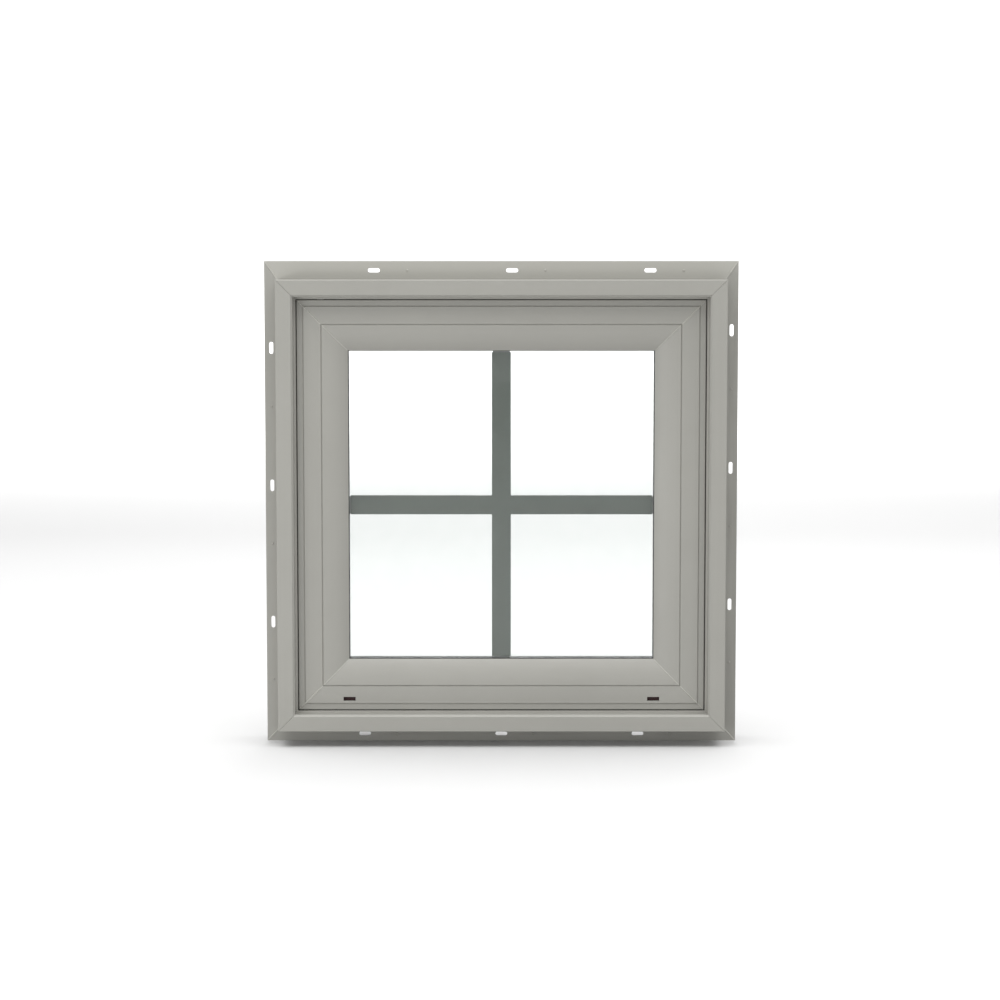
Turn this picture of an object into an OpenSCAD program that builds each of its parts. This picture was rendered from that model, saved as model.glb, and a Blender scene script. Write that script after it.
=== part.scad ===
// Outward-opening casement window with a nailing fin, a sealed grid unit and a crank operator.
// X runs along the sill, Y from the outside face to the room, Z up. The origin is the middle of
// the window in the plane of the fin's back face, which lies on the wall sheathing.
// Two working directions are used for every profile: depth, from the outside lip face towards the
// room, and inset, from the frame's outer edge towards the glass.

/* [Frame] */
// Width of the frame over its outer edges, without the fin
frame_w = 457; // [380:1:700]
// Height of the frame over its outer edges, without the fin
frame_h = 461; // [330:1:700]
// Depth of the frame
frame_d = 76; // [72:0.5:100]
// Width of the outside lip face
lip_w = 17.3; // [16:0.1:24]
// Wall of the hollow frame members
frame_wall = 2.2; // [1.8:0.1:2.6]
// Depth at which the inside stop starts
stop_depth = 52; // [51.5:0.5:58]
// Inset of the stop's inner edge
stop_inset = 44; // [43:0.5:48]

/* [Nailing fin] */
// Width of the fin beyond the left and right sides of the frame
fin_w = 13.5; // [12:0.5:35]
// Width of the fin above the head
fin_head = 19; // [12:0.5:35]
// Width of the fin below the sill
fin_sill = 14.5; // [12:0.5:35]
// Thickness of the fin
fin_t = 1.6; // [1.2:0.1:2.4]
// Depth of the fin's back face
fin_depth = 32; // [20:1:44]
// Length of a nail slot
slot_l = 12.2; // [8:0.1:16]
// Width of a nail slot
slot_w = 4.1; // [3:0.1:6]
// Distance between nail slots
slot_pitch = 141; // [90:1:150]
// Diameter of the round nail dimples
dimple_d = 3.2; // [2:0.1:4]

/* [Sash] */
// Gap between the frame lip and the sash
reveal = 3; // [2.8:0.1:4]
// Depth of the sash's outside face behind the lip face
sash_recess = 14; // [12:0.5:15]
// Depth of the sash members, outside face to inside face
sash_d = 32; // [31:0.5:34]
// Width of the sash's outside flange beyond its body
flange_w = 16; // [16:0.5:18]
// Wall of the sash members
sash_wall = 2; // [1.6:0.1:2.4]
// Inset of the edge where the glazing bead starts
bead_inset = 45.5; // [45:0.5:50]
// Inset of the visible glass edge
sight_inset = 72; // [70:0.5:78]
// Inset of the glass unit's hidden edge
glass_inset = 62; // [60:0.5:64]
// Gap between a weep slot's middle and the middle of the sash
weep_x = 156; // [60:1:160]

/* [Glass and grid] */
// Thickness of each pane
pane_t = 3; // [2.5:0.1:3.5]
// Width of the air space
air_t = 11; // [9:0.1:12]
// Width of a grid bar
bar_w = 19.4; // [12:0.1:26]
// Thickness of a grid bar
bar_t = 5; // [4:0.1:8]

/* [Hinge and operator] */
// Distance from the sash's edge to its hinge axis
hinge_in = 24; // [22:0.5:28]
// Depth of the hinge axis
hinge_depth = 26; // [25:0.5:27]
// Radius of the hinge pins
pin_r = 3.5; // [2.5:0.1:4]
// Running clearance of every pin and shaft, on the radius
run_gap = 0.05; // [0.02:0.01:0.09]
// Distance along the sill from the hinge axis to the arm's pivot
arm_off = 24; // [22:0.5:30]
// Length of the operator arm between its centres
arm_l = 130; // [110:1:150]
// Angle of the arm to the sill when shut
arm_rest = 2.645; // [2:0.005:3.2]
// Radius of the crank spindle
spindle_r = 4; // [3:0.1:4.5]
// Length of the crank arm between its centres
crank_l = 72; // [50:1:85]
// Radius of the crank knob
knob_r = 8; // [6:0.5:10]

/* [Lock] */
// Height of the lock's spindle above the middle of the window
lock_z = -60; // [-100:1:100]
// Length of the lock lever
lever_l = 62; // [45:1:75]
// Angle of the unlocked lever above the horizontal
lever_tilt = 55; // [45:1:60]

/* [Hidden] */
$fn = 48;

vinyl = [0.66, 0.65, 0.62];
metal = [0.70, 0.71, 0.72];
dark = [0.12, 0.12, 0.13];

// Sides in the order sill, left, head, right: a quarter turn about Y takes one to the next.
function side_len(k) = k % 2 == 0 ? frame_w : frame_h;
function side_off(k) = k % 2 == 0 ? frame_h / 2 : frame_w / 2;
function fin_out(k) = [fin_sill, fin_w, fin_head, fin_w][k];

chamfer = 0.6;
lip_chamfer = 2;           // bevel on the inner edge of the lip, inside the wall
sash_inset = lip_w + reveal;
body_inset = sash_inset + flange_w;
sash_back = sash_recess + sash_d;
strip_drop = 1.2;          // the narrow outer strip of the sash face lies this much lower
strip_w = 6;
flange_t = 6;
groove_front = 25;         // hardware groove round the back of the sash members
groove_w = 18;
groove_deep = 10;
pocket_inset = 56;         // floor of the glass pocket
glass_depth = 24;
unit_t = 2 * pane_t + air_t;
leg_depth = glass_depth + unit_t + 1;
bead_drop = 8.9;           // how far the bead's face falls back towards the glass
gasket_t = 0.6;
spacer_top = sight_inset + 0.4;
clip_t = 1.5;              // grid keeper between a bar's end and the spacer
bar_y = glass_depth + pane_t + air_t / 2;
seal_gap = 2;              // free space between the seal and the shut sash
lip_seal_depth = 13.1;     // front of the soft strip that closes the gap round the sash
lip_seal_t = 1.6;
lip_seal_gap = 0.7;
weld_g = 0.6;              // side of the square that cuts the fine groove along each corner weld
weep_up = 11.4;            // height of the weep slots above the sash's lower edge

hinge_x = -frame_w / 2 + sash_inset + hinge_in;
sill_z = -frame_h / 2 + lip_w;         // top of the sill inside the lip
pivot_x = hinge_x + arm_off;
pivot_depth = hinge_depth + 2;
plate_t = 2;
plate_holes = [22, 36];    // depths of the hinge plate's screws
bracket_holes = [16, 44];  // distances of the bracket's screws from the hinge axis
head_t = 1.5;              // height of a screw head
arm_t = 2.5;
arm_z = sill_z + 12.8;
arm_w = 14;
hub_r = 7.3;
pivot_r = 3;
gear_r = 23.5;
gear_z = sill_z + 5.7;
gear_t = 4;
gear_tooth = 2.2;
gear_teeth = 9;
gear_step = 12;
worm_r = 5;
worm_x = pivot_x + gear_r + worm_r + 0.4;
worm_z = sill_z + 7.4;
worm_front = 22;
bearing_w = 14;            // width of the block that carries the spindle
shoe_w = 10;
shoe_x = pivot_x + arm_l * cos(arm_rest);
shoe_depth = pivot_depth + arm_l * sin(arm_rest);
track_l = 84;
track_t = 1.2;
cover_t = 7;
crank_depth = frame_d + cover_t + 1.5;
knob_l = 22;
lock_r = 3.5;
lock_inset = 23.3;
lock_x = frame_w / 2 - lock_inset;
cam_depth = 29.5;
cam_t = 4.5;
keeper_gap = 0.5;
keeper_hole_y = 40.2;
play = 0.3;                // free space between pieces that pass each other

// Everything is drawn at its depth from the lip face and moved so that the fin's back is at zero.
module placed() { translate([0, -fin_depth, 0]) children(); }

// A solid that runs along one side of the window with mitred ends. The child is its section:
// first axis depth, second axis inset. It may reach past the frame's edge by out.
module run(k, out = 0, reach = 90) {
  len = side_len(k);
  rotate([0, 90 * k, 0]) translate([0, 0, -side_off(k)]) intersection() {
    rotate([90, 0, 90]) linear_extrude(len + 2 * out, center = true) children();
    translate([0, frame_d + 20, 0]) rotate([90, 0, 0]) linear_extrude(frame_d + 40)
      polygon([[-len / 2 - out, -out], [len / 2 + out, -out],
               [len / 2 - reach, reach], [-len / 2 + reach, reach]]);
  }
}

module ring(out = 0, reach = 90) { for (k = [0:3]) run(k, out, reach) children(); }

// An axis-aligned block from its low corner to its high corner, in x, depth and z.
module block(low, high) { translate(low) cube(high - low); }

// A cylinder along depth, and one along Z.
module rod_y(x, z, r, y0, y1) { translate([x, y1, z]) rotate([90, 0, 0]) cylinder(r = r, h = y1 - y0); }
module rod_z(x, y, r, z0, z1) { translate([x, y, z0]) cylinder(r = r, h = z1 - z0); }

// A pan-head screw along Z or along depth, with a cross recess; head first.
module screw(r = 1.6, head = 3.2, l = 8) {
  difference() {
    union() {
      cylinder(r = head, h = head_t);
      translate([0, 0, -l]) cylinder(r = r, h = l);
    }
    for (a = [0, 90]) rotate([0, 0, a]) translate([-head * 0.6, -0.35, 0.7]) cube([head * 1.2, 0.7, 2]);
  }
}

// A clearance hole along Z for a screw whose head sits flush with the plate's top at z.
module flush_hole(r, head, z) {
  translate([0, 0, z - 20]) cylinder(r = r + 0.1, h = 40);
  translate([0, 0, z - head_t]) cylinder(r = head + 0.1, h = head_t + 1);
}

// ---- Frame -------------------------------------------------------------------------------------

module frame_section() {
  w = frame_wall;
  difference() {
    polygon([[chamfer, 0], [frame_d - chamfer, 0], [frame_d, chamfer],
             [frame_d, stop_inset - 1.5], [frame_d - 1.5, stop_inset],
             [stop_depth + chamfer, stop_inset], [stop_depth, stop_inset - chamfer],
             [stop_depth, lip_w], [lip_chamfer, lip_w], [0, lip_w - lip_chamfer], [0, chamfer]]);
    translate([w, w]) square([fin_depth - 2 * w, lip_w - 2 * w]);
    translate([fin_depth, w]) square([stop_depth - fin_depth, lip_w - 2 * w]);
    translate([stop_depth + w, w]) square([frame_d - stop_depth - 2 * w, lip_w - 2 * w]);
    translate([stop_depth + w, lip_w + 0.6])
      square([frame_d - stop_depth - 2 * w, stop_inset - lip_w - w - 0.6]);
  }
}

// The fin of one side: a plate whose ends meet the next fins on a line from corner to corner.
module fin(k) {
  len = side_len(k);
  low = [fin_w, fin_head, fin_w, fin_sill][k];       // the next fin at the low end of the side
  high = [fin_w, fin_sill, fin_w, fin_head][k];
  rotate([0, 90 * k, 0]) translate([0, fin_depth, -side_off(k)]) rotate([90, 0, 0])
    linear_extrude(fin_t) polygon([
      [-len / 2 - low, -fin_out(k)], [len / 2 + high, -fin_out(k)], [len / 2, 0],
      [len / 2 - 1, 1], [-len / 2 + 1, 1], [-len / 2, 0]]);
}

// Places its children on each nail slot of one side. shift moves the row along the side.
module along_fin(k, shift) {
  rotate([0, 90 * k, 0]) translate([shift, fin_depth, -side_off(k) - fin_out(k) / 2])
    for (i = [-1:1]) translate([i * slot_pitch, 0, 0]) rotate([90, 0, 0]) children();
}

// A small bump at a distance from each slot marks where a nail may be driven instead.
module frame_side(k, shift, dimple_x) {
  color(vinyl) difference() {
    union() {
      run(k) frame_section();
      fin(k);
      along_fin(k, shift) translate([dimple_x, 0, fin_t / 2])
        cylinder(r1 = dimple_d / 2 + 0.3, r2 = dimple_d / 4, h = fin_t / 2 + 0.6);
    }
    along_fin(k, shift) translate([0, 0, -1]) linear_extrude(fin_t + 2) union() {
      square([slot_l - slot_w, slot_w], center = true);
      for (s = [-1, 1]) translate([s * (slot_l - slot_w) / 2, 0]) circle(r = slot_w / 2);
    }
    weld_grooves(k);
    children();
  }
}

// Fine V grooves in the lip face along the welds at both ends of a side.
module weld_grooves(k) {
  rotate([0, 90 * k, 0]) translate([0, 0, -side_off(k)])
    for (s = [-1, 1]) translate([s * side_len(k) / 2, 0, 0]) rotate([0, -45 * s, 0])
      rotate([0, 0, 45]) translate([-weld_g / 2, -weld_g / 2, 1])
        cube([weld_g, weld_g, (lip_w - 1) * sqrt(2)]);
}

module frame_sill() {
  frame_side(0, 0, 33) {
    rod_y(worm_x, worm_z, spindle_r + 1.5, stop_depth - 1, frame_d + 1);
  }
}
module frame_jamb_left() { frame_side(1, -20, 60); }
module frame_head() { frame_side(2, -11, -34); }
module frame_jamb_right() {
  frame_side(3, 38, -60) {
    rod_y(lock_x, lock_z, lock_r + 1, stop_depth - 1, frame_d + 1);
  }
}

// Bulb seal on the face of the stop.
module frame_seal() {
  front = sash_back + seal_gap;
  color(dark) ring() translate([front, body_inset + 2]) union() {
    translate([1.6, 1.6]) circle(r = 1.6);
    translate([1.4, 0]) square([stop_depth - front - 1.4, 3.2]);
  }
}

// Soft strip on the inner wall of the lip, which closes the gap in front of the sash's edge.
module lip_seal() {
  color(vinyl) ring() translate([lip_seal_depth, lip_w]) square([lip_seal_t, reveal - lip_seal_gap]);
}

// ---- Hinges ------------------------------------------------------------------------------------

// The bottom hinge is drawn; the top one is its mirror image in Z.
module both(top) { if (top) mirror([0, 0, 1]) children(); else children(); }

module hinge_plate(top) {
  color(metal) both(top) difference() {
    block([hinge_x - 19, 16, sill_z], [hinge_x + 12, 42, sill_z + plate_t]);
    rod_z(hinge_x, hinge_depth, pin_r, sill_z - 1, sill_z + plate_t + 1);
    for (y = plate_holes) translate([hinge_x - 13, y, 0]) flush_hole(1.6, 2.4, sill_z + plate_t);
  }
}
module hinge_pin(top) {
  color(metal) both(top)
    rod_z(hinge_x, hinge_depth, pin_r, sill_z, sill_z + body_inset - lip_w - 0.3);
}
module hinge_plate_screws() {
  color(metal) for (top = [false, true]) both(top)
    for (y = plate_holes) translate([hinge_x - 13, y, sill_z + plate_t - head_t])
      screw(1.6, 2.4, plate_t - head_t);
}
module hinge_bracket(top) {
  zb = -frame_h / 2 + body_inset;
  color(metal) both(top) difference() {
    union() {
      block([hinge_x - 6, 21, zb - plate_t], [hinge_x + 52, 45, zb]);
      rod_z(hinge_x, hinge_depth, pin_r + 2, zb - 6, zb);
    }
    rod_z(hinge_x, hinge_depth, pin_r + run_gap, zb - 7, zb + 1);
    for (x = bracket_holes) translate([hinge_x + x, 24, 0]) mirror([0, 0, 1])
      flush_hole(1.2, 1.9, plate_t - zb);
  }
}
module hinge_bracket_bottom() { hinge_bracket(false); }
module hinge_bracket_top() { hinge_bracket(true); }
module hinge_bracket_screws() {
  zb = -frame_h / 2 + body_inset;
  color(metal) for (top = [false, true]) both(top)
    for (x = bracket_holes) translate([hinge_x + x, 24, zb - plate_t + head_t]) mirror([0, 0, 1])
      screw(1.2, 1.9, plate_t - head_t);
}

// ---- Operator ----------------------------------------------------------------------------------

module operator_base() {
  x0 = hinge_x + 13;
  color(metal) difference() {
    union() {
      block([x0, 20, sill_z], [worm_x + 14, 50, sill_z + plate_t]);
      rod_z(pivot_x, pivot_depth, pivot_r + 3, sill_z, gear_z - 0.4);
      block([worm_x - bearing_w / 2, 38, sill_z], [worm_x + bearing_w / 2, 50, sill_z + 12.3]);
    }
    rod_y(worm_x, worm_z, spindle_r + run_gap, 37, 51);
    rod_z(pivot_x, pivot_depth, pivot_r, sill_z - 1, gear_z);
    for (p = [[x0 + 5, 45], [worm_x + 11, 24]]) rod_z(p[0], p[1], 1.7, sill_z - 1, sill_z + 3);
  }
}
module operator_pivot() {
  color(metal) union() {
    rod_z(pivot_x, pivot_depth, pivot_r, sill_z, arm_z + arm_t + play);
    rod_z(pivot_x, pivot_depth, pivot_r + 2, arm_z + arm_t + play, arm_z + arm_t + play + 0.8);
  }
}
module operator_screws() {
  x0 = hinge_x + 13;
  color(metal) for (p = [[x0 + 5, 45], [worm_x + 11, 24]])
    translate([p[0], p[1], sill_z + plate_t]) screw(1.6, 2.4, plate_t);
}

// Worm on the end of the crank spindle, shown as rings that stand clear of the sector's tips.
module worm_spindle() {
  color(metal) difference() {
    union() {
      rod_y(worm_x, worm_z, spindle_r, worm_front, crank_depth + 12);
      for (i = [0:3]) rod_y(worm_x, worm_z, worm_r, worm_front + i * 3.6, worm_front + i * 3.6 + 1.8);
    }
    rod_y(worm_x, worm_z, 1.2, crank_depth + 6, crank_depth + 13);
  }
}
module gear_sector() {
  color(metal) difference() {
    translate([pivot_x, pivot_depth, gear_z]) union() {
      cylinder(r = hub_r, h = arm_z - gear_z);
      intersection() {
        cylinder(r = gear_r - gear_tooth, h = gear_t);
        rotate([0, 0, -6]) linear_extrude(gear_t)
          polygon([[0, 0], [60, 0], [60, 60], [0, 60]]);
      }
      for (i = [0:gear_teeth - 2]) rotate([0, 0, i * gear_step - 3])
        translate([gear_r - gear_tooth - 1, -1.1, 0]) cube([gear_tooth + 0.9, 2.2, gear_t]);
    }
    rod_z(pivot_x, pivot_depth, pivot_r + run_gap, gear_z - 1, arm_z + 1);
  }
}
module drive_arm() {
  color(metal) translate([pivot_x, pivot_depth, arm_z]) rotate([0, 0, arm_rest]) difference() {
    linear_extrude(arm_t) difference() {
      union() {
        circle(r = hub_r);
        polygon([[0, -arm_w / 2], [arm_l * 0.7, -arm_w / 2], [arm_l, -6], [arm_l, 6],
                 [arm_l * 0.7, arm_w / 2], [0, arm_w / 2]]);
        translate([arm_l, 0]) circle(r = 6);
      }
      circle(r = pivot_r + run_gap);
      translate([arm_l, 0]) circle(r = 2.5 + run_gap);
    }
  }
}
module arm_shoe() {
  top = -frame_h / 2 + body_inset + groove_deep - track_t - 1;
  color(dark) union() {
    block([shoe_x - 7, shoe_depth - shoe_w / 2, top - 6], [shoe_x + 7, shoe_depth + shoe_w / 2, top]);
    rod_z(shoe_x, shoe_depth, 4, arm_z + arm_t + 0.4, top - 5);
    rod_z(shoe_x, shoe_depth, 2.5, arm_z - 0.4, top - 5);
    rod_z(shoe_x, shoe_depth, 4, arm_z - 1.4, arm_z - 0.4);
  }
}
module shoe_track() {
  z0 = -frame_h / 2 + body_inset;
  mid = groove_front + groove_w / 2;
  half = groove_w / 2;
  color(metal) difference() {
    block([shoe_x - track_l * 0.7, mid - half, z0 + 0.3],
          [shoe_x + track_l * 0.3, mid + half, z0 + groove_deep]);
    block([shoe_x - track_l, mid - half + track_t, z0 - 1],
          [shoe_x + track_l, mid + half - track_t, z0 + groove_deep - track_t]);
  }
}
module operator_cover() {
  color(vinyl) difference() {
    translate([worm_x, frame_d + cover_t, worm_z]) rotate([90, 0, 0]) union() {
      linear_extrude(cover_t - 2) union() {
        square([44, 20], center = true);
        for (s = [-1, 1]) translate([s * 22, 0]) circle(r = 10);
      }
      translate([0, 0, cover_t - 2]) linear_extrude(2) union() {
        square([46, 24], center = true);
        for (s = [-1, 1]) translate([s * 23, 0]) circle(r = 12);
      }
    }
    rod_y(worm_x, worm_z, spindle_r + 0.4, frame_d - 1, frame_d + cover_t + 1);
    for (s = [-1, 1]) rod_y(worm_x + s * 22, worm_z, 1.8, frame_d - 1, frame_d + cover_t + 1);
  }
}
module operator_cover_screws() {
  color(metal) for (s = [-1, 1]) translate([worm_x + s * 22, frame_d + cover_t, worm_z])
    rotate([-90, 0, 0]) screw(1.7, 3.2, cover_t);
}
// Crank handle: a hub on the spindle, a tapered arm and an end boss.
module crank_handle() {
  color(vinyl) translate([worm_x, crank_depth, worm_z]) rotate([-90, 0, 0]) difference() {
    union() {
      cylinder(r = 9, h = 14);
      translate([0, 0, 14]) cylinder(r1 = 9, r2 = 7.4, h = 1.4);
      translate([0, 0, 6]) linear_extrude(7)
        polygon([[0, -8], [crank_l, -5.5], [crank_l, 5.5], [0, 8]]);
      translate([crank_l, 0, 6]) cylinder(r = 7, h = 8);
      translate([crank_l, 0, 14]) cylinder(r = 3, h = knob_l + 0.6);
      translate([crank_l, 0, 14 + knob_l + 0.6]) cylinder(r = 4.6, h = 1.2);
    }
    translate([0, 0, -1]) cylinder(r = spindle_r, h = 13);
    translate([0, 0, 3.5]) rotate([90, 0, 0]) cylinder(r = 1.6, h = 12);
  }
}
module crank_set_screw() {
  color(metal) translate([worm_x, crank_depth + 3.5, worm_z + spindle_r]) difference() {
    cylinder(r = 1.6, h = 4.6);
    translate([0, 0, 3.2]) cylinder(r = 0.8, h = 2, $fn = 6);
  }
}
module crank_knob() {
  color(vinyl) translate([worm_x + crank_l, crank_depth + 14.3, worm_z]) rotate([-90, 0, 0])
    rotate_extrude() difference() {
      union() {
        square([knob_r - 1.6, knob_l]);
        translate([knob_r - 1.6, 1.6]) circle(r = 1.6, $fn = 24);
        translate([0, 1.6]) square([knob_r, knob_l - 6.6]);
        translate([knob_r - 5, knob_l - 5]) circle(r = 5);
      }
      translate([-20, -1]) square([20 + 3 + run_gap, knob_l + 2]);
      translate([3, knob_l - 1.6]) square([2.2, 3]);
    }
}

// ---- Lock --------------------------------------------------------------------------------------

module lock_base() {
  color(vinyl) difference() {
    translate([lock_x, frame_d + 5, lock_z]) rotate([90, 0, 0]) linear_extrude(5) union() {
      square([22, 58], center = true);
      for (s = [-1, 1]) translate([0, s * 29]) circle(r = 11);
    }
    rod_y(lock_x, lock_z, lock_r + run_gap, frame_d - 1, frame_d + 6);
    for (s = [-1, 1]) rod_y(lock_x, lock_z + s * 28, 1.8, frame_d - 1, frame_d + 6);
  }
}
module lock_base_screws() {
  color(metal) for (s = [-1, 1]) translate([lock_x, frame_d + 5, lock_z + s * 28])
    rotate([-90, 0, 0]) screw(1.7, 3.2, 5);
}
module lock_lever() {
  color(vinyl) translate([lock_x, frame_d + 5.4, lock_z]) rotate([-90, 0, 0]) difference() {
    union() {
      cylinder(r = 9.5, h = 9);
      translate([0, 0, 9]) cylinder(r1 = 9.5, r2 = 8, h = 1.2);
      rotate([0, 0, lever_tilt]) {
        translate([0, 0, 3]) linear_extrude(5)
          polygon([[0, -7], [-lever_l, -4.5], [-lever_l, 4.5], [0, 7]]);
        translate([-lever_l, 0, 3]) cylinder(r = 6.5, h = 6);
      }
    }
    translate([0, 0, -1]) cylinder(r = lock_r, h = 7);
  }
}
module lock_cam() {
  color(metal) union() {
    rod_y(lock_x, lock_z, lock_r, cam_depth, frame_d + 5.4 + 6);
    translate([lock_x, cam_depth + cam_t, lock_z]) rotate([90, 0, 0]) linear_extrude(cam_t) union() {
      circle(r = 4.5);
      polygon([[-4.5, 0], [4.5, 0], [3.2, 11.5], [-3.2, 11.5]]);
    }
  }
}
module lock_keeper() {
  x1 = frame_w / 2 - body_inset;
  y0 = cam_depth + cam_t + keeper_gap;
  color(metal) difference() {
    block([x1 - groove_deep + 0.2, y0, lock_z - 14], [x1 + 7.6, groove_front + groove_w - 0.2, lock_z + 14]);
    block([x1, y0 + 3, lock_z - 15], [x1 + 9, groove_front + groove_w + 1, lock_z + 15]);
    for (s = [-1, 1]) translate([x1 - groove_deep, keeper_hole_y, lock_z + s * 9]) rotate([0, 90, 0])
      cylinder(r = 1.4, h = 12);
  }
}
module keeper_screws() {
  x1 = frame_w / 2 - body_inset;
  color(metal) for (s = [-1, 1]) translate([x1, keeper_hole_y, lock_z + s * 9]) rotate([0, 90, 0])
    screw(1.3, 2.2, groove_deep - 0.2);
}

// ---- Sash --------------------------------------------------------------------------------------

module sash_section() {
  f = sash_recess;
  b = sash_back;
  w = sash_wall;
  difference() {
    polygon([[f + strip_drop + chamfer, sash_inset], [f + strip_drop, sash_inset + chamfer],
             [f + strip_drop, sash_inset + strip_w], [f, sash_inset + strip_w + 1.2],
             [f, bead_inset - 0.8], [f + 0.8, bead_inset], [glass_depth - 2, bead_inset],
             [glass_depth - 2, pocket_inset], [leg_depth, pocket_inset],
             [leg_depth, sight_inset - chamfer], [leg_depth + chamfer, sight_inset],
             [b - 1.2, sight_inset], [b, sight_inset - 1.2], [b, body_inset],
             [groove_front + groove_w, body_inset],
             [groove_front + groove_w, body_inset + groove_deep],
             [groove_front, body_inset + groove_deep], [groove_front, body_inset],
             [f + flange_t, body_inset], [f + flange_t, sash_inset + chamfer],
             [f + flange_t - chamfer, sash_inset]]);
    translate([f + strip_drop + 1.5, sash_inset + 1.8]) square([1.6, flange_w + 2]);
    translate([groove_front, body_inset + groove_deep + w])
      square([leg_depth - groove_front - 1, pocket_inset - body_inset - groove_deep - 2 * w]);
  }
}
module sash_side(k) { color(vinyl) run(k) sash_section(); }
module sash_rail_bottom() {
  color(vinyl) difference() {
    run(0) sash_section();
    for (s = [-1, 1]) translate([s * weep_x, sash_recess + 1, -frame_h / 2 + sash_inset + weep_up])
      cube([12.4, 4, 4], center = true);
  }
}

// Glazing bead: a hollow strip with a curved face that falls back to the glass.
module bead_section() {
  w = sight_inset - bead_inset;
  front = sash_recess - 0.4;
  r = (w * w + bead_drop * bead_drop) / (2 * bead_drop);
  back = glass_depth - gasket_t;
  difference() {
    intersection() {
      translate([front + r, bead_inset]) circle(r = r, $fn = 180);
      translate([front, bead_inset]) square([back - front, w]);
    }
    intersection() {
      translate([front + r, bead_inset]) circle(r = r - 1.6, $fn = 180);
      translate([front, bead_inset + 1.6]) square([back - front - 1.6, w - 3.2]);
    }
    translate([glass_depth - 2, bead_inset - 1]) square([3, pocket_inset - bead_inset + 1]);
    polygon([[front - 1, bead_inset - 1], [front + 0.7, bead_inset - 1], [front + 0.7, bead_inset],
             [front - 1, bead_inset + 1.7]]);
  }
}
module bead_side(k) { color(vinyl) run(k) bead_section(); }

// ---- Glass unit --------------------------------------------------------------------------------

module pane(y0) {
  color([0.75, 0.86, 0.84, 0.4]) block(
    [-frame_w / 2 + glass_inset, y0, -frame_h / 2 + glass_inset],
    [frame_w / 2 - glass_inset, y0 + pane_t, frame_h / 2 - glass_inset]);
}
module glass_outer() { pane(glass_depth); }
module glass_inner() { pane(glass_depth + pane_t + air_t); }
module glass_spacer() {
  color(dark) ring() translate([glass_depth + pane_t, glass_inset + 1.5])
    square([air_t, spacer_top - glass_inset - 1.5]);
}
module bar(x0, x1, z0, z1) {
  color([0.47, 0.51, 0.49]) block([x0, bar_y - bar_t / 2, z0], [x1, bar_y + bar_t / 2, z1]);
}
module grid_bar_vertical() {
  z = frame_h / 2 - spacer_top - clip_t;
  bar(-bar_w / 2, bar_w / 2, -z, z);
}
module grid_bar_left() {
  bar(-frame_w / 2 + spacer_top + clip_t, -bar_w / 2, -bar_w / 2, bar_w / 2);
}
module grid_bar_right() {
  bar(bar_w / 2, frame_w / 2 - spacer_top - clip_t, -bar_w / 2, bar_w / 2);
}
// Keepers that hold the bar ends on the spacer.
module grid_clips() {
  color(metal) for (k = [0:3]) rotate([0, 90 * k, 0]) translate([0, 0, -side_off(k)])
    block([-bar_w / 2 + 1, bar_y - air_t / 2 + 0.4, spacer_top],
          [bar_w / 2 - 1, bar_y + air_t / 2 - 0.4, spacer_top + clip_t]);
}
module setting_blocks() {
  color(dark) for (s = [-1, 1])
    block([s * 80 - 25, glass_depth + 0.5, -frame_h / 2 + pocket_inset],
          [s * 80 + 25, glass_depth + unit_t - 0.5, -frame_h / 2 + glass_inset]);
}
module glazing_tape() {
  color(dark) ring() translate([glass_depth + unit_t, glass_inset + 2])
    square([1, sight_inset - glass_inset - 4]);
}
module glazing_gasket() {
  color(dark) ring() translate([glass_depth - gasket_t, glass_inset + 4])
    square([gasket_t, sight_inset - glass_inset - 3.6]);
}

placed() frame_sill();
placed() frame_jamb_left();
placed() frame_head();
placed() frame_jamb_right();
placed() frame_seal();
placed() lip_seal();
placed() hinge_plate(false);  // hinge_plate_bottom
placed() hinge_plate(true);  // hinge_plate_top
placed() hinge_pin(false);  // hinge_pin_bottom
placed() hinge_pin(true);  // hinge_pin_top
placed() hinge_plate_screws();
placed() operator_base();
placed() operator_pivot();
placed() operator_screws();
placed() operator_cover();
placed() operator_cover_screws();
placed() lock_base();
placed() lock_base_screws();
placed() worm_spindle();
placed() crank_handle();
placed() crank_set_screw();
placed() crank_knob();
placed() drive_arm();
placed() gear_sector();
placed() arm_shoe();
placed() lock_lever();
placed() lock_cam();
placed() sash_rail_bottom();
placed() sash_side(1);  // sash_stile_left
placed() sash_side(2);  // sash_rail_top
placed() sash_side(3);  // sash_stile_right
placed() bead_side(0);  // bead_bottom
placed() bead_side(1);  // bead_left
placed() bead_side(2);  // bead_top
placed() bead_side(3);  // bead_right
placed() glass_outer();
placed() glass_inner();
placed() glass_spacer();
placed() grid_bar_vertical();
placed() grid_bar_left();
placed() grid_bar_right();
placed() grid_clips();
placed() setting_blocks();
placed() glazing_tape();
placed() glazing_gasket();
placed() hinge_bracket_bottom();
placed() hinge_bracket_top();
placed() hinge_bracket_screws();
placed() shoe_track();
placed() lock_keeper();
placed() keeper_screws();
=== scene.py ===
"""Looks of the casement window: materials for every CAD piece, the weld seams at the mitred corners,
the dark sheets of painted shade in the weep slots, and the stage, light and camera. The seams' corners come
from the CAD pieces' own boxes."""
import math

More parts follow.
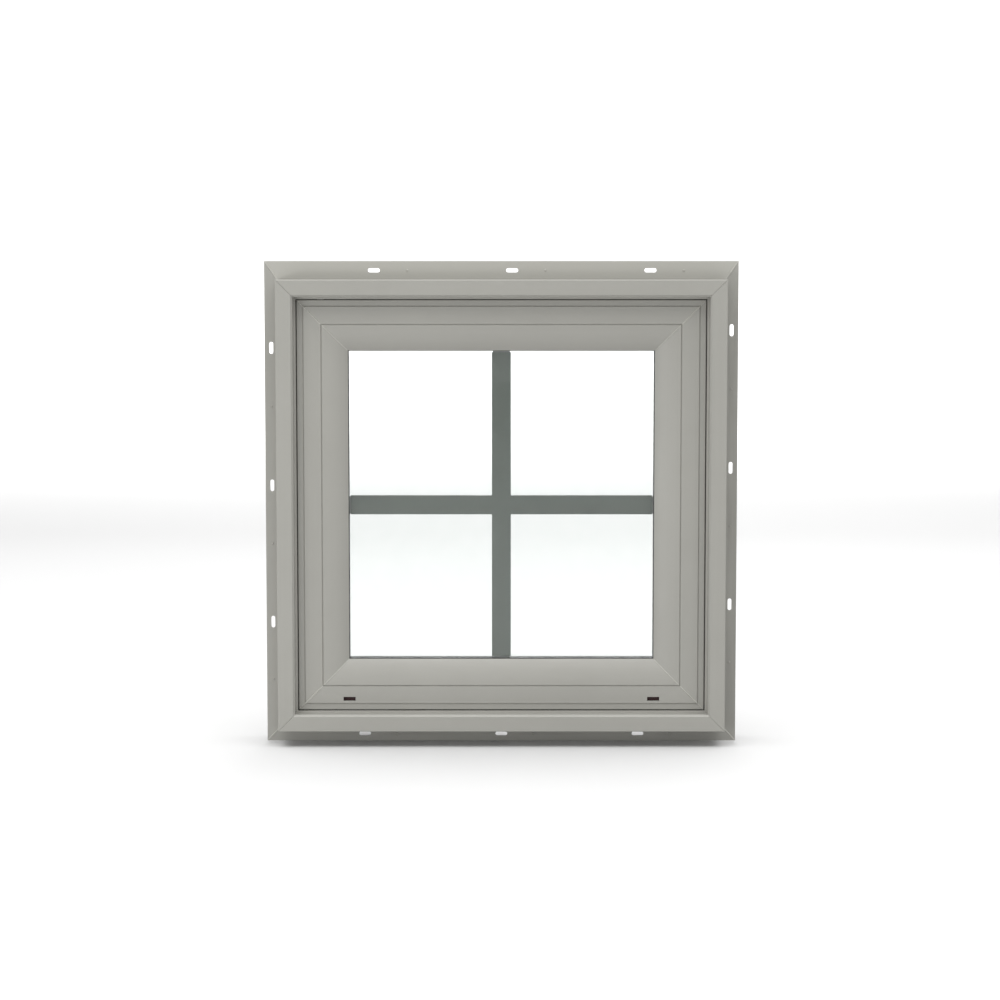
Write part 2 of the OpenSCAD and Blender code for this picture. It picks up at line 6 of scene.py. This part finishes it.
import bmesh
import bpy
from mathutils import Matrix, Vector


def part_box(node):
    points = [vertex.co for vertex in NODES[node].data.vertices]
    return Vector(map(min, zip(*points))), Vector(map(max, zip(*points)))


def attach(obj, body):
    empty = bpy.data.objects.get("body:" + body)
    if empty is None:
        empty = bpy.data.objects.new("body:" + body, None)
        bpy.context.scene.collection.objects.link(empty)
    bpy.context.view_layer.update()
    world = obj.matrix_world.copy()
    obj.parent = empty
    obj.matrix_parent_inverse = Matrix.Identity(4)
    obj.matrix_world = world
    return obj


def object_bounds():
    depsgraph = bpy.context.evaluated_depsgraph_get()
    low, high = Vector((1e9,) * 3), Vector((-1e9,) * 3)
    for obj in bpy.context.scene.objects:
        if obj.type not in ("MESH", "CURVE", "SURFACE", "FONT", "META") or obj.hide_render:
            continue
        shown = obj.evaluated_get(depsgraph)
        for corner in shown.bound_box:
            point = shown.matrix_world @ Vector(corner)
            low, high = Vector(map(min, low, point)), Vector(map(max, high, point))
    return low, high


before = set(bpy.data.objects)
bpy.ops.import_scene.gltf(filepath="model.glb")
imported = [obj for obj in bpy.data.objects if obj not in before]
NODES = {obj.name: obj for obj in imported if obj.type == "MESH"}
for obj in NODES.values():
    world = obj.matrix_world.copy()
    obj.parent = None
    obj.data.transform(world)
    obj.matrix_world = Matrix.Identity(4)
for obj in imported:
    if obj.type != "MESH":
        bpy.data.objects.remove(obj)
CAD_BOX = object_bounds()
MM = 0.001
FIN_HEAD, FIN_SIDE = 19.0 * MM, 13.5 * MM       # how far the fin stands out at the head and the sides


# ---- Materials -----------------------------------------------------------------------------------

class Look:
    """A node material under construction: short helpers for the nodes that every finish here uses."""

    def __init__(self, name):
        self.mat = bpy.data.materials.new(name)
        self.mat.use_nodes = True
        self.tree = self.mat.node_tree
        self.shader = self.tree.nodes["Principled BSDF"]
        self.coords = self.tree.nodes.new("ShaderNodeTexCoord").outputs["Object"]

    def node(self, kind, **values):
        made = self.tree.nodes.new(kind)
        for key, value in values.items():
            if hasattr(made, key):
                setattr(made, key, value)
            else:
                made.inputs[key.replace("_", " ")].default_value = value
        return made

    def link(self, a, b):
        self.tree.links.new(a, b)

    def set(self, **values):
        for key, value in values.items():
            self.shader.inputs[key.replace("_", " ")].default_value = value

    def stretched(self, scale):
        """Object coordinates scaled by a vector, which draws a noise out along an axis."""
        mapping = self.node("ShaderNodeMapping")
        mapping.inputs["Scale"].default_value = scale
        self.link(self.coords, mapping.inputs["Vector"])
        return mapping.outputs["Vector"]

    def noise(self, scale, detail=3.0, rough=0.5, vector=None):
        made = self.node("ShaderNodeTexNoise", Scale=scale, Detail=detail, Roughness=rough)
        self.link(vector or self.coords, made.inputs["Vector"])
        return made.outputs["Fac"]

    def ramp(self, value, low, high, start=0.3, end=0.7):
        made = self.node("ShaderNodeValToRGB")
        made.color_ramp.elements[0].position = start
        made.color_ramp.elements[0].color = (*low, 1.0)
        made.color_ramp.elements[1].position = end
        made.color_ramp.elements[1].color = (*high, 1.0)
        self.link(value, made.inputs["Fac"])
        return made.outputs["Color"]

    def scaled(self, value, low, high, start=0.3, end=0.7):
        made = self.node("ShaderNodeMapRange")
        for key, number in (("From Min", start), ("From Max", end), ("To Min", low), ("To Max", high)):
            made.inputs[key].default_value = number
        self.link(value, made.inputs["Value"])
        return made.outputs["Result"]

    def mix(self, kind, factor, a, b):
        made = self.node("ShaderNodeMix", data_type="RGBA", blend_type=kind)
        # a colour mix keeps its factor, two colours and result at these places
        for place, value in ((0, factor), (6, a), (7, b)):
            if hasattr(value, "is_output"):
                self.link(value, made.inputs[place])
            else:
                made.inputs[place].default_value = value
        return made.outputs[2]

    def bump(self, *layers):
        """Bumps from (height, distance in metres, strength), one over the other."""
        normal = None
        for height, distance, strength in layers:
            made = self.node("ShaderNodeBump", Strength=strength, Distance=distance)
            self.link(height, made.inputs["Height"])
            if normal:
                self.link(normal, made.inputs["Normal"])
            normal = made.outputs["Normal"]
        self.link(normal, self.shader.inputs["Normal"])

    def color(self, value):
        self.link(value, self.shader.inputs["Base Color"])

    def roughness(self, value):
        self.link(value, self.shader.inputs["Roughness"])

    def beyond(self, axis, limit):
        """One where an object coordinate passes a limit, on the limit's own side of zero. It rises
        from zero just past the limit, over the step."""
        step = 1.004
        split = self.node("ShaderNodeSeparateXYZ")
        self.link(self.coords, split.inputs[0])
        return self.scaled(split.outputs[axis], 0.0, 1.0, limit, limit * step)

    def edge_wear(self, base, rubbed, amount):
        """Lighter rims where the surface turns sharply."""
        point = self.node("ShaderNodeNewGeometry").outputs["Pointiness"]
        rim = self.scaled(point, 0.0, amount, 0.505, 0.56)
        return self.mix("MIX", rim, base, (*rubbed, 1.0))


UNSHADED = (1.0, 1.0, 1.0)
DIE_SHADE = (0.95, 0.95, 0.95)          # how far a die line darkens the vinyl
HAND_MARK = (0.93, 0.925, 0.91)         # and how far a hand-mark does, a little warmer
ALONG, ACROSS = 3.0, 260.0              # noise scale along a member and across it


def tint(color, factor):
    return tuple(min(1.0, c * factor) for c in color)


def vinyl(name, base, along, grain=1.0, painted_light=None):
    """Extruded PVC: faint die lines along the member, hand-marks, and a soft orange-peel skin.
    The last argument is (axis, limit, factor): beyond the limit the colour is the base times the factor, a
    painted highlight where the part stands in the light."""
    look = Look(name)
    stretch = {"x": (ALONG, ACROSS, ACROSS), "z": (ACROSS, ACROSS, ALONG)}[along]
    lines = look.noise(1.0, 2.0, 0.5, look.stretched(stretch))
    cloud = look.noise(9.0, 4.0, 0.55)
    smudge = look.noise(38.0, 5.0, 0.6)
    peel = look.noise(1400.0, 2.0, 0.5)
    color = look.ramp(cloud, tint(base, 0.965), tint(base, 1.035))
    color = look.mix("MULTIPLY", 0.55, color, look.ramp(lines, DIE_SHADE, UNSHADED))
    grime = look.ramp(smudge, HAND_MARK, UNSHADED, 0.25, 0.5)
    color = look.mix("MULTIPLY", 0.5, color, grime)
    color = look.edge_wear(color, tint(base, 1.22), 0.45)
    # painted highlight: past the limit the colour is lightened where the part stands in the light
    if painted_light:
        axis, limit, factor = painted_light
        color = look.mix("MIX", look.beyond(axis, limit), color, (*tint(base, factor), 1.0))
    look.color(color)
    look.roughness(look.scaled(smudge, 0.40, 0.54))
    look.set(IOR=1.53, Specular_IOR_Level=0.5)
    look.bump((peel, 0.00004 * grain, 0.35), (lines, 0.00012, 0.30))
    return look.mat


def moulded(name, base, rough=0.42, scale=900.0):
    """Injection-moulded plastic with a fine spark-eroded grain."""
    look = Look(name)
    grain = look.node("ShaderNodeTexVoronoi", Scale=scale)
    look.link(look.coords, grain.inputs["Vector"])
    cloud = look.noise(30.0, 4.0)
    color = look.ramp(cloud, tint(base, 0.95), tint(base, 1.05))
    look.color(look.edge_wear(color, tint(base, 1.25), 0.35))
    look.roughness(look.scaled(cloud, rough - 0.05, rough + 0.07))
    look.bump((grain.outputs["Distance"], 0.00005, 0.35))
    return look.mat


def painted(name, base, rough=0.36):
    """Powder coat on a casting: orange peel and small chips of wear at the edges."""
    look = Look(name)
    peel = look.noise(420.0, 2.0, 0.4)
    cloud = look.noise(24.0, 4.0)
    color = look.ramp(cloud, tint(base, 0.96), tint(base, 1.04))
    look.color(look.edge_wear(color, tint(base, 1.3), 0.4))
    look.roughness(look.scaled(cloud, rough - 0.06, rough + 0.08))
    look.set(Coat_Weight=0.15, Coat_Roughness=0.25)
    look.bump((peel, 0.00008, 0.3))
    return look.mat


def metal(name, base, rough, brush=(6.0, 900.0, 900.0), dull=0.25):
    """Plated or mill metal: rolling marks, a cloudy passivation film and rubbed edges."""
    look = Look(name)
    marks = look.noise(1.0, 3.0, 0.6, look.stretched(brush))
    film = look.noise(60.0, 5.0, 0.65)
    warm = (base[0], base[1] * 0.98, base[2] * 0.93)
    color = look.ramp(film, tint(warm, 1.0 - dull), base)
    look.color(look.edge_wear(color, tint(base, 1.2), 0.6))
    look.roughness(look.scaled(marks, rough - 0.08, rough + 0.1))
    look.set(Metallic=1.0)
    look.bump((marks, 0.00003, 0.4))
    return look.mat


def rubber(name, base, rough=0.62):
    """Extruded elastomer with talc bloom and fine drag lines."""
    look = Look(name)
    bloom = look.noise(130.0, 5.0, 0.7)
    fine = look.noise(1500.0, 2.0)
    look.color(look.ramp(bloom, base, tint(base, 1.9), 0.35, 0.75))
    look.roughness(look.scaled(bloom, rough - 0.07, rough + 0.12))
    look.bump((fine, 0.00005, 0.4))
    return look.mat


def clear_glass(name):
    """Float glass: clear, with the green body tint, a faint roller wave and dried dust marks."""
    look = Look(name)
    wave = look.noise(2.2, 2.0)
    marks = look.noise(90.0, 6.0, 0.7)
    look.color(look.ramp(marks, (0.955, 0.975, 0.965), (0.985, 0.995, 0.99)))
    look.roughness(look.scaled(marks, 0.015, 0.0, 0.62, 0.5))
    look.set(Transmission_Weight=1.0, IOR=1.45)
    look.bump((wave, 0.0002, 0.06))
    return look.mat


VINYL = (0.268, 0.264, 0.241)
VINYL_X = vinyl("vinyl_along_x", VINYL, "x")
VINYL_Z = vinyl("vinyl_along_z", VINYL, "z")
WELD = vinyl("vinyl_weld", tint(VINYL, 1.32), "x", 3.0)
SOFT_VINYL = vinyl("soft_vinyl_strip", tint(VINYL, 1.15), "x", 2.0)
RUBBER = rubber("seal_rubber", (0.018, 0.018, 0.019))
SPACER = rubber("spacer_black", (0.014, 0.015, 0.017), 0.5)
STEEL = metal("zinc_steel", (0.62, 0.62, 0.60), 0.36)
SCREW = metal("screw_zinc", (0.66, 0.66, 0.64), 0.30, (300.0, 300.0, 300.0))
ALUMINIUM = metal("track_aluminium", (0.78, 0.79, 0.80), 0.30)
CAST = painted("operator_grey", (0.33, 0.335, 0.335), 0.45)
GRID = painted("grid_paint", (0.128, 0.148, 0.130), 0.5)
CLIP = moulded("grid_keeper", (0.20, 0.21, 0.20))
COVER = moulded("cover_plastic", (0.50, 0.485, 0.44))
HANDLE = painted("handle_coat", (0.50, 0.485, 0.44))
KNOB = moulded("knob_plastic", (0.47, 0.455, 0.41), 0.38, 700.0)
NYLON = moulded("shoe_nylon", (0.028, 0.028, 0.028), 0.35)
GLASS = clear_glass("float_glass")

# painted highlight: the thin fin at the head and the left side is painted a shade paler than the frame,
# where it stands in the light
HEAD_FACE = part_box("frame_head")[1].z - FIN_HEAD
JAMB_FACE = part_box("frame_jamb_left")[0].x + FIN_SIDE
LIT_VINYL_HEAD = vinyl("vinyl_head_painted_highlight", VINYL, "x", painted_light=("Z", HEAD_FACE, 1.36))
LIT_VINYL_JAMB = vinyl("vinyl_jamb_left_painted_highlight", VINYL, "z", painted_light=("X", JAMB_FACE, 1.12))

FINISH = {
    "frame_sill": VINYL_X, "frame_head": LIT_VINYL_HEAD,
    "frame_jamb_left": LIT_VINYL_JAMB, "frame_jamb_right": VINYL_Z,
    "sash_rail_bottom": VINYL_X, "sash_rail_top": VINYL_X,
    "sash_stile_left": VINYL_Z, "sash_stile_right": VINYL_Z,
    "bead_bottom": VINYL_X, "bead_top": VINYL_X, "bead_left": VINYL_Z, "bead_right": VINYL_Z,
    "frame_seal": RUBBER, "lip_seal": SOFT_VINYL,
    "glazing_gasket": RUBBER, "glazing_tape": RUBBER, "setting_blocks": RUBBER,
    "glass_outer": GLASS, "glass_inner": GLASS, "glass_spacer": SPACER,
    "grid_bar_vertical": GRID, "grid_bar_left": GRID, "grid_bar_right": GRID, "grid_clips": CLIP,
    "operator_base": CAST, "shoe_track": ALUMINIUM, "arm_shoe": NYLON,
    "operator_cover": COVER, "lock_base": COVER, "crank_handle": HANDLE, "lock_lever": HANDLE,
    "crank_knob": KNOB,
}
for node_name, obj in NODES.items():
    finish = FINISH.get(node_name) or (SCREW if "screw" in node_name else STEEL)
    obj.data.materials.clear()
    obj.data.materials.append(finish)


# ---- New pieces -----------------------------------------------------------------------------------

def placed(name, data):
    """A new object in the scene's own collection."""
    obj = bpy.data.objects.new(name, data)
    bpy.context.scene.collection.objects.link(obj)
    return obj


def lofted(name, rings, material):
    """A new closed solid: faces between rings of points, a cap at each end, normals outwards."""
    grid = bmesh.new()
    rows = [[grid.verts.new(point) for point in ring] for ring in rings]
    for a, b in zip(rows, rows[1:]):
        for j in range(len(a)):
            k = (j + 1) % len(a)
            grid.faces.new((a[j], a[k], b[k], b[j]))
    grid.faces.new(rows[0][::-1])
    grid.faces.new(rows[-1])
    bmesh.ops.recalc_face_normals(grid, faces=grid.faces)
    mesh = bpy.data.meshes.new(name)
    grid.to_mesh(mesh)
    grid.free()
    mesh.materials.append(material)
    return placed(name, mesh)


# ---- Weld seams ----------------------------------------------------------------------------------
# A fine ridge of melted vinyl follows the section along each mitred corner. A seam's path is a list
# of points on the outside faces, worked out from the boxes of the pieces that meet there.

SEAM_SINK = 0.25                        # mm that a ridge's foot stands in the face
SEAM_ENDS, SEAM_WOBBLE = 0.3, 0.25      # height left at the two ends, and its share that wanders
SHOULDER_OUT, SHOULDER_UP = 0.45, 0.8   # the section's shoulders, as shares of half width and height


def seam(name, body, path, width, height):
    """A low ridge with a peaked section, laid along points on the outside faces."""
    rings = []
    for i, point in enumerate(path):
        ahead = path[min(i + 1, len(path) - 1)] - path[max(i - 1, 0)]
        across = ahead.cross(Vector((0.0, 1.0, 0.0))).normalized() * width / 2
        out = across.cross(ahead).normalized()
        out = out if out.y < 0 else -out
        taper = SEAM_ENDS if i in (0, len(path) - 1) else 1.0
        phase = 2.3 * i + math.copysign(5.0, point.x) + math.copysign(3.0, point.z)
        wobble = 1.0 + SEAM_WOBBLE * math.sin(phase)
        top = out * height * taper * wobble
        sink = out * -SEAM_SINK * MM
        section = (across + sink, across * SHOULDER_OUT + top * SHOULDER_UP, top,
                   across * -SHOULDER_OUT + top * SHOULDER_UP, sink - across)
        rings.append([point + offset for offset in section])
    obj = lofted(name, rings, WELD)
    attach(obj, body)


def corner(node_a, node_b, sx, sz):
    """The outer corner of two members in the window's plane, from their boxes."""
    (lo_a, hi_a), (lo_b, hi_b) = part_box(node_a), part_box(node_b)
    x = max(hi_a.x, hi_b.x) if sx > 0 else min(lo_a.x, lo_b.x)
    z = max(hi_a.z, hi_b.z) if sz > 0 else min(lo_a.z, lo_b.z)
    return x, z


def between(a, b, count):
    return [a.lerp(b, i / (count - 1)) for i in range(count)]


def inward(outer, inset, y):
    """A point on the mitre line, inset along x and z from an outer corner, at a depth. A negative
    inset lies outside the corner."""
    x, z = outer
    return Vector((x - inset * math.copysign(1.0, x), y, z - inset * math.copysign(1.0, z)))


FRAME_TO_SASH = 20.3 * MM                                       # lip width and the gap round the sash
STRIP_DROP, STRIP_W, STEP_W = 1.2 * MM, 6.0 * MM, 1.2 * MM      # the sash's narrow outer strip
BEAD_DROP = 8.9 * MM                                            # fall of the bead's curved face
FIN_T = 1.6 * MM
SEAM_START = 0.8 * MM                                           # a seam begins this far in from a corner
FIN_SEAM_GAP, SASH_SEAM_GAP = 0.4 * MM, 0.6 * MM                # and stops short of the lip or the bead
FIN_SEAM = (1.6 * MM, 0.55 * MM)                                # width and height of each ridge
SASH_SEAM = (1.5 * MM, 0.5 * MM)
BEAD_SEAM = (1.4 * MM, 0.5 * MM)
BEAD_POINTS = 13
BEAD_FROM, BEAD_SPAN = 0.03, 0.95                               # shares of the bead's width

for sx, side in ((-1, "left"), (1, "right")):
    for sz, end in ((-1, "bottom"), (1, "top")):
        rail, bead_rail = "sash_rail_" + end, "bead_" + end
        stile, bead_stile = "sash_stile_" + side, "bead_" + side
        frame_rail = "frame_sill" if sz < 0 else "frame_head"
        tag = end + "_" + side
        # fin: from its own corner to the frame's corner behind the lip
        fin_corner = corner(frame_rail, "frame_jamb_" + side, sx, sz)
        lip_corner = (sx * (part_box("sash_rail_bottom")[1].x + FRAME_TO_SASH),
                      sz * (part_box("sash_rail_top")[1].z + FRAME_TO_SASH))
        path = between(inward(fin_corner, SEAM_START, -FIN_T),
                       inward(lip_corner, -FIN_SEAM_GAP, -FIN_T), 6)
        seam("weld_fin_" + tag, "frame", path, *FIN_SEAM)
        # sash: narrow strip, step, main face
        sash_corner = corner(rail, stile, sx, sz)
        bead_corner = corner(bead_rail, bead_stile, sx, sz)
        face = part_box(rail)[0].y
        strip = face + STRIP_DROP
        to_bead = abs(sash_corner[0] - bead_corner[0])
        path = between(inward(sash_corner, SEAM_START, strip), inward(sash_corner, STRIP_W, strip), 3)
        path += between(inward(sash_corner, STRIP_W + STEP_W, face),
                        inward(sash_corner, to_bead - SASH_SEAM_GAP, face), 6)
        seam("weld_sash_" + tag, "sash", path, *SASH_SEAM)
        # bead: follows the curved face down to the glass
        bead_lo, bead_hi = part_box(bead_rail)
        width = bead_hi.z - bead_lo.z
        radius = (width ** 2 + BEAD_DROP ** 2) / (2 * BEAD_DROP)
        path = []
        for i in range(BEAD_POINTS):
            inset = width * (BEAD_FROM + BEAD_SPAN * i / (BEAD_POINTS - 1))
            y = bead_lo.y + radius - math.sqrt(radius ** 2 - inset ** 2)
            path.append(inward(bead_corner, inset, y))
        seam("weld_bead_" + tag, "sash", path, *BEAD_SEAM)


# ---- Painted shade in the weep slots -------------------------------------------------------------
# A ribbed dark sheet stands in the hollow behind each weep slot: painted shade, which darkens the slot where
# the hollow lies in shade.

# painted shade: a dark reddish sheet that darkens the weep slots' hollows, which lie only in shade
SHADE_SHEET = rubber("weep_shade_sheet", (0.022, 0.006, 0.006), 0.7)
WEEP_X, WEEP_UP = 156.0 * MM, 11.4 * MM     # the slots' place from the middle and the sash's bottom
WEEP_FACE = 2.95 * MM                       # the front of the painted shade sheet, behind the sash's outside face
RIBS, RIB_PITCH, RIB_DEPTH = 17, 1.05, 0.35 * MM        # the pitch is in mm
SHADE_SHEET_HALF, SHADE_SHEET_T = 3.2 * MM, 0.95 * MM
sash_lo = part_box("sash_rail_bottom")[0]
for sx, side in ((-1, "left"), (1, "right")):
    cx, cz, front = sx * WEEP_X, sash_lo.z + WEEP_UP, sash_lo.y + WEEP_FACE
    low, high, back = cz - SHADE_SHEET_HALF, cz + SHADE_SHEET_HALF, front + SHADE_SHEET_T
    rings = []
    for i in range(RIBS):
        x = cx + (i - RIBS // 2) * RIB_PITCH * MM
        y = front + (RIB_DEPTH if i % 2 else 0.0)
        rings.append([(x, y, low), (x, y, high), (x, back, high), (x, back, low)])
    shade_sheet = lofted("weep_shade_sheet_" + side, rings, SHADE_SHEET)
    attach(shade_sheet, "sash")


# ---- Stage, light and camera ---------------------------------------------------------------------

centre = Vector((0.0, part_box("frame_sill")[0].y, 0.0))     # middle of the window in the lip's plane
floor_z = CAD_BOX[0].z - 2.0 * MM

# one swept sheet: floor, a wide curve, then the wall far behind
STAGE_HALF, SWEEP_R, FRONT_Y, WALL_Y, WALL_Z = 14.0, 3.0, -9.0, 9.0, 9.0
rows = [(FRONT_Y, floor_z), (WALL_Y - SWEEP_R, floor_z)]
rows += [(WALL_Y - SWEEP_R + SWEEP_R * math.sin(math.radians(a)),
          floor_z + SWEEP_R - SWEEP_R * math.cos(math.radians(a))) for a in range(6, 91, 6)]
rows.append((WALL_Y, WALL_Z))
mesh = bpy.data.meshes.new("sweep")
mesh.from_pydata([(x, y, z) for y, z in rows for x in (-STAGE_HALF, STAGE_HALF)], [],
                 [(2 * i, 2 * i + 1, 2 * i + 3, 2 * i + 2) for i in range(len(rows) - 1)])
sweep = placed("sweep", mesh)
mesh.shade_smooth()
stage_white = Look("stage_white")
stage_white.set(Base_Color=(0.55, 0.55, 0.55, 1.0), Roughness=0.9)
mesh.materials.append(stage_white.mat)

world = bpy.data.worlds.new("studio")
bpy.context.scene.world = world
world.use_nodes = True
background = world.node_tree.nodes["Background"]
background.inputs["Color"].default_value = (1.0, 1.0, 1.0, 1.0)
background.inputs["Strength"].default_value = 0.8


def area(name, place, size, power, aim=centre):
    """A rectangular light of so many watts, turned to its aim."""
    data = bpy.data.lights.new(name, "AREA")
    data.shape = "RECTANGLE"
    data.size, data.size_y = size
    data.energy = power
    obj = placed(name, data)
    obj.location = place
    obj.rotation_euler = (Vector(aim) - Vector(place)).to_track_quat("-Z", "Y").to_euler()


area("overhead", (0.0, -0.6, 3.2), (5.0, 4.0), 200.0, (0.0, -0.6, 0.0))
area("key_left_low", (-1.1, -1.3, -0.2), (0.9, 0.35), 8.0, (0.0, 0.0, -0.18))
area("back_wall", (0.0, 4.5, 4.0), (6.0, 2.0), 700.0, (0.0, 9.0, 1.5))
area("room_side", (0.5, 2.2, 1.6), (1.6, 1.2), 16.0)

PHOTO_SPAN = 1.0154          # width, in metres, that the picture shows at the lip's plane
DISTANCE = 2.6               # metres from the camera to its aim
ELEVATION = 5.0              # degrees that the camera looks down
SENSOR = 36.0                # mm
AIM_RIGHT, AIM_UP = -1.4 * MM, 7.6 * MM      # where the photo's middle lies on the window
cam_data = bpy.data.cameras.new("camera")
cam_data.sensor_width = SENSOR
cam_data.lens = cam_data.sensor_width * DISTANCE / PHOTO_SPAN
camera = placed("camera", cam_data)
tilt = math.radians(ELEVATION)
aim = centre + Vector((AIM_RIGHT, 0.0, AIM_UP))
camera.location = aim + DISTANCE * Vector((0.0, -math.cos(tilt), math.sin(tilt)))
camera.rotation_euler = (aim - camera.location).to_track_quat("-Z", "Y").to_euler()
bpy.context.scene.camera = camera
bpy.context.scene.view_settings.view_transform = "Standard"
